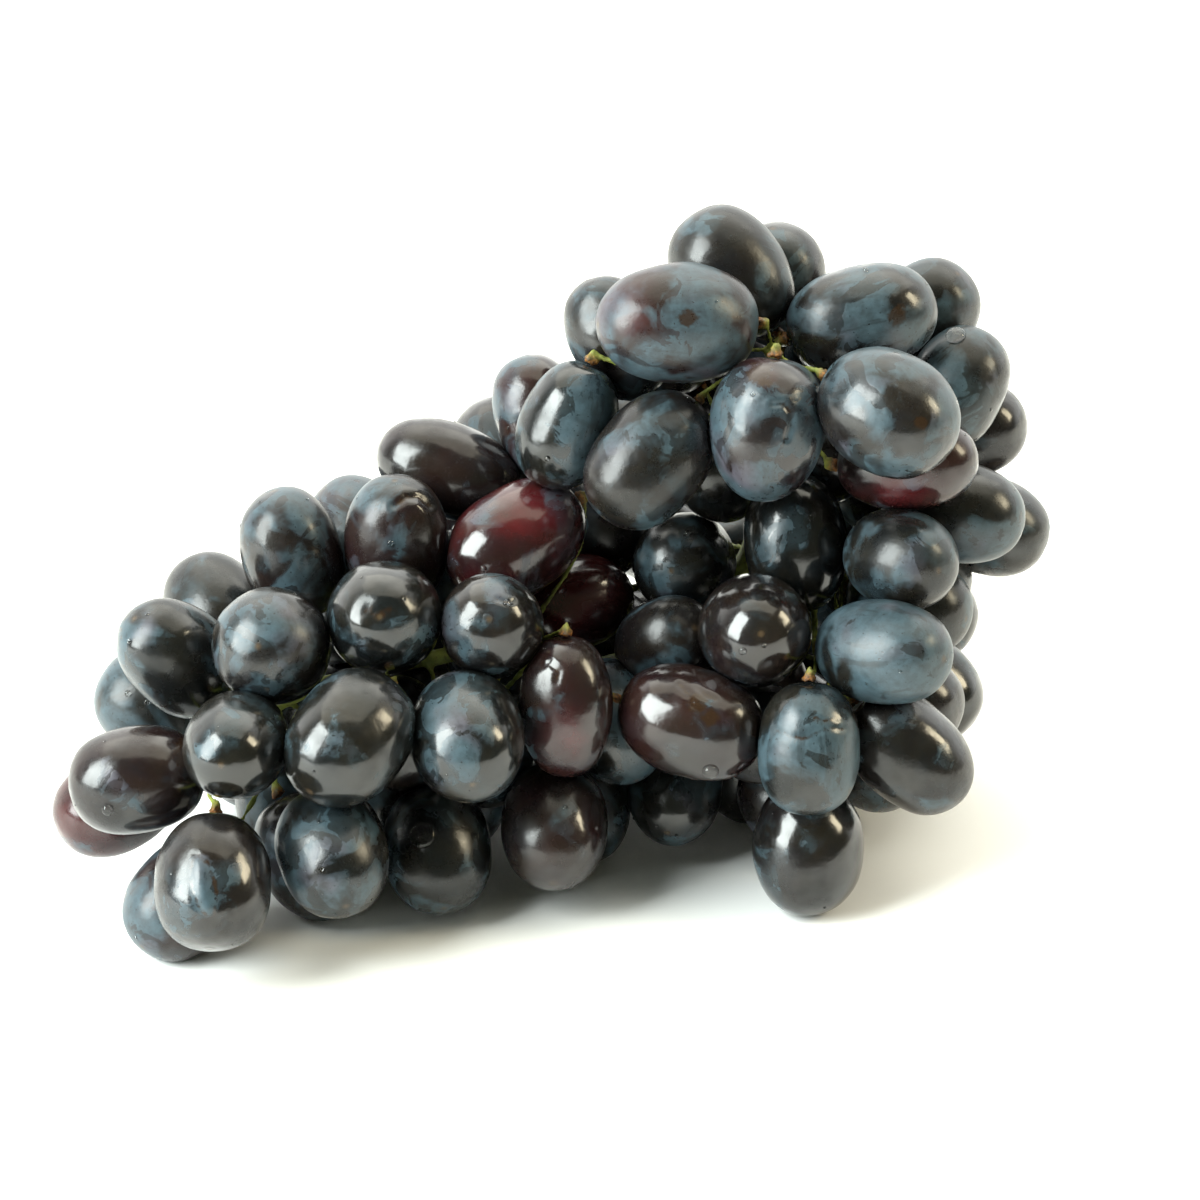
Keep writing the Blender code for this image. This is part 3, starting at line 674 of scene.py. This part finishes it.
def makeStem():
    look = stemLook
    mesh = bpy.data.meshes.new("stem_bark")
    stemCopy.to_mesh(mesh)
    stemCopy.free()
    piece = bpy.data.objects.new("stem_bark", mesh)
    bpy.context.scene.collection.objects.link(piece)
    mesh = evenSkin(piece)
    places = readVectors(mesh, "co").astype(float) / mm
    normals = readVectors(mesh, "normal")
    # near a grape's stalk end the stem swells into a warty cushion
    ends = kdtree.KDTree(len(berries))
    for index, berry in enumerate(berries):
        ends.insert(berry["centre"] - berry["axis"] * berry["halfLength"], index)
    ends.balance()
    rust = bell(np.array([ends.find(place)[2] for place in places]), look["cushionReach"])
    fromCut = np.linalg.norm(places - places[np.argmax(places[:, 1])], axis=1)
    lift = look["knots"] * noiseAt(places, look["knotSize"], 5)
    lift += look["bark"] * noiseAt(places, look["barkSize"], 6)
    lift += look["warts"] * rust * (np.abs(noiseAt(places, look["wartSize"], 7)) - look["wartStart"])
    places += normals * lift[:, None]
    mesh.vertices.foreach_set("co", (places * mm).astype(np.float32).ravel())
    mesh.update()
    mesh.shade_smooth()
    addAttribute(mesh, "rustShare", rust)
    addAttribute(mesh, "woodShare", look["woodShare"] * bell(fromCut, look["woodReach"]))
    addAttribute(mesh, "cutShare", (normals[:, 1] > look["cutFacing"]) * (fromCut < look["cutReach"]))
    mesh.materials.clear()
    mesh.materials.append(makeStemMaterial())
    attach(piece, "root")
    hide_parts("stem")
    print("stem made with", len(mesh.polygons), "faces")


makeStem()

# drops of water: grape, right and up of its middle, radius, height, in mm
drops = [
    ("flank_grape_1", 0.0, 10.6, 2.1, 1.5), ("wing_grape_16", -2.4, 3.4, 2.7, 1.3),
    ("wing_grape_8", -4.2, -5.4, 1.2, 0.9), ("wing_grape_16", 7.6, 3.0, 0.9, 0.6),
    ("hollow_grape_4", 3.6, -9.6, 1.7, 1.2), ("shoulder_grape_5", -6.2, -6.0, 0.7, 0.4),
    ("wing_grape_7", -5.0, 2.4, 0.7, 0.5), ("wing_grape_7", -1.6, 0.8, 0.6, 0.45),
    ("wing_grape_1", -0.8, -1.0, 0.7, 0.5), ("wing_grape_6", 3.4, 4.6, 0.9, 0.5),
    ("crown_grape_3", 0.4, 9.4, 0.7, 0.5), ("hollow_grape_2", -3.0, -3.8, 0.8, 0.5),
    ("hollow_grape_2", 1.2, -3.0, 0.5, 0.4), ("hollow_grape_1", 2.2, 4.6, 0.7, 0.45),
    ("hollow_grape_3", 0.4, 5.8, 1.0, 0.5), ("wing_grape_15", -1.0, -2.4, 0.5, 0.35),
    ("wing_grape_14", 4.6, -3.2, 0.5, 0.35), ("foot_grape_1", 2.0, 4.0, 0.5, 0.35),
    ("shoulder_grape_2", -3.6, -7.2, 0.6, 0.4), ("crown_grape_6", -3.4, 6.4, 0.5, 0.35),
    ("wing_grape_3", -8.6, 3.0, 0.6, 0.4),
]
dropShape = {"segments": 32, "rings": 20, "sink": 0.1, "sag": 0.12}
beadShape = {
    "count": 210, "radius": (0.14, 0.42), "flatness": 0.62, "segments": 10, "rings": 6,
    "lowest": 4, "turnedAway": -0.2,  # no beads near the table or at the back
    "seed": 77,
}
waterLook = {"refraction": 1.33, "rippleScale": 900.0, "bumpStrength": 0.15, "bumpDepth": 0.05 * mm}


def makeWater():
    made, tree, shader = newMaterial("clear water")
    shader.inputs["Base Color"].default_value = (1, 1, 1, 1)
    shader.inputs["Roughness"].default_value = 0.0
    shader.inputs["IOR"].default_value = waterLook["refraction"]
    shader.inputs["Transmission Weight"].default_value = 1.0
    place = addNode(tree, "ShaderNodeTexCoord").outputs["Object"]
    ripple = noiseNode(tree, place, waterLook["rippleScale"], 2.0)
    linkBump(tree, shader, ripple, waterLook["bumpStrength"], waterLook["bumpDepth"])
    return made


def addDrop(water, place, outward, radius, height, shape):
    turnTo = Vector(outward).to_track_quat("Z", "Y").to_matrix().to_4x4()
    made = bmesh.ops.create_uvsphere(
        water, u_segments=shape["segments"], v_segments=shape["rings"], radius=radius * mm,
    )["verts"]
    bmesh.ops.scale(water, vec=(1, 1, height / radius), verts=made)
    # heavier below than above
    for vert in made:
        vert.co.z *= 1 - dropShape["sag"] * vert.co.x / (radius * mm)
    bmesh.ops.transform(water, matrix=Matrix.Translation(Vector(place) * mm) @ turnTo, verts=made)


def addWaterPiece(name, water, material):
    mesh = bpy.data.meshes.new(name)
    water.to_mesh(mesh)
    water.free()
    mesh.shade_smooth()
    mesh.materials.append(material)
    piece = bpy.data.objects.new(name, mesh)
    bpy.context.scene.collection.objects.link(piece)
    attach(piece, "root")


def placeDrops(material):
    byName = {berry["node"]: berry for berry in berries if berry["number"] == 0}
    water = bmesh.new()
    for nodeName, right, up, radius, height in drops:
        berry = byName[nodeName]
        offset = berry["places"] - berry["centre"]
        miss = np.hypot(offset @ toRight - right, offset @ toTop - up)
        miss[offset @ toViewer <= 0] = np.inf
        place = berry["places"][np.argmin(miss)]
        outward = ovalDistance(place[None], berry)[1][0]
        addDrop(water, place + outward * height * dropShape["sink"], outward, radius, height, dropShape)
    addWaterPiece("water_drops", water, material)
    print("water drops placed:", len(drops))


def placeBeads(material):
    beads = bmesh.new()
    draw = np.random.default_rng(beadShape["seed"])
    shown = [berry for berry in berries if berry["node"] in berryLooks]
    for _ in range(beadShape["count"]):
        berry = shown[draw.integers(len(shown))]
        place = berry["places"][draw.integers(len(berry["places"]))]
        outward = ovalDistance(place[None], berry)[1][0]
        if outward @ toViewer < beadShape["turnedAway"] or place[2] < beadShape["lowest"]:
            continue
        radius = draw.uniform(*beadShape["radius"])
        addDrop(beads, place, outward, radius, radius * beadShape["flatness"], beadShape)
    addWaterPiece("water_beads", beads, material)
    print("small beads of water placed")


waterMaterial = makeWater()
placeDrops(waterMaterial)
placeBeads(waterMaterial)

# table, light and camera, in metres
studio = {
    "table": (0.90, 0.90, 0.885), "lighterTable": (0.918, 0.918, 0.9027), "tableSize": 6.0,
    "tableRoughness": 0.7, "tableClouds": dict(scale=3.0, detail=2.0),
    "window": {
        "toward": (-0.75, -0.41, 0.52), "distance": 1.5, "size": (0.85, 1.35),
        "colour": (0.92, 1.0, 0.98), "radiance": 19.0,
    },
    "lamp": {
        "toward": (0.84, -0.08, 0.53), "distance": 1.5, "size": (0.36, 0.60),
        "colour": (1.0, 0.88, 0.62), "radiance": 15.0,
    },
    "ceiling": {
        "toward": (0.05, 0.25, 0.97), "distance": 1.7, "size": (2.6, 2.0),
        "colour": (1.0, 0.96, 0.80), "radiance": 1.9,
    },
    "room": (0.10, 0.105, 0.07), "backdrop": (2.5, 2.55, 2.45), "backdropFrom": (-0.05, 0.5),
    "sensor": 36.0,
}


def addSoftbox(name, light):
    toward = Vector(light["toward"]).normalized()
    lamp = bpy.data.lights.new(name, "AREA")
    lamp.shape = "RECTANGLE"
    lamp.size, lamp.size_y = light["size"]
    lamp.color = light["colour"]
    lamp.energy = light["radiance"] * math.pi * lamp.size * lamp.size_y
    piece = bpy.data.objects.new(name, lamp)
    piece.location = toward * light["distance"]
    piece.rotation_mode = "QUATERNION"
    piece.rotation_quaternion = toward.to_track_quat("Z", "Y")
    bpy.context.scene.collection.objects.link(piece)


def addTable():
    table = bmesh.new()
    bmesh.ops.create_grid(table, x_segments=2, y_segments=2, size=studio["tableSize"] / 2)
    mesh = bpy.data.meshes.new("table")
    table.to_mesh(mesh)
    table.free()
    made, tree, shader = newMaterial("pale table")
    place = addNode(tree, "ShaderNodeTexCoord").outputs["Object"]
    cloudy = noiseNode(tree, place, **studio["tableClouds"])
    colour = mixColours(tree, cloudy, studio["table"], studio["lighterTable"])
    tree.links.new(colour, shader.inputs["Base Color"])
    shader.inputs["Roughness"].default_value = studio["tableRoughness"]
    mesh.materials.append(made)
    piece = bpy.data.objects.new("table", mesh)
    bpy.context.scene.collection.objects.link(piece)


def addSurroundings():
    # a dark room in front, a pale wall behind
    world = bpy.data.worlds.new("studio")
    bpy.context.scene.world = world
    world.use_nodes = True
    tree = world.node_tree
    toward = addNode(tree, "ShaderNodeTexCoord").outputs["Generated"]
    split = addNode(tree, "ShaderNodeSeparateXYZ", None, Vector=toward)
    wall = rampNode(tree, split.outputs[1], *studio["backdropFrom"])
    colour = mixColours(tree, wall, studio["room"], studio["backdrop"])
    tree.links.new(colour, tree.nodes["Background"].inputs[0])


def addCamera():
    camera = bpy.data.objects.new("camera", bpy.data.cameras.new("camera"))
    camera.data.sensor_width = studio["sensor"]
    camera.data.lens = viewing["lens"]
    camera.location = (Vector(viewing["aim"]) + Vector(toViewer) * viewing["distance"]) * mm
    camera.rotation_mode = "QUATERNION"
    camera.rotation_quaternion = Vector(toViewer).to_track_quat("Z", "Y")
    bpy.context.scene.collection.objects.link(camera)
    bpy.context.scene.camera = camera
    bpy.context.scene.view_settings.view_transform = "Standard"


addTable()
for name in ("window", "lamp", "ceiling"):
    addSoftbox(name, studio[name])
addSurroundings()
addCamera()
print("table, lights and camera set")
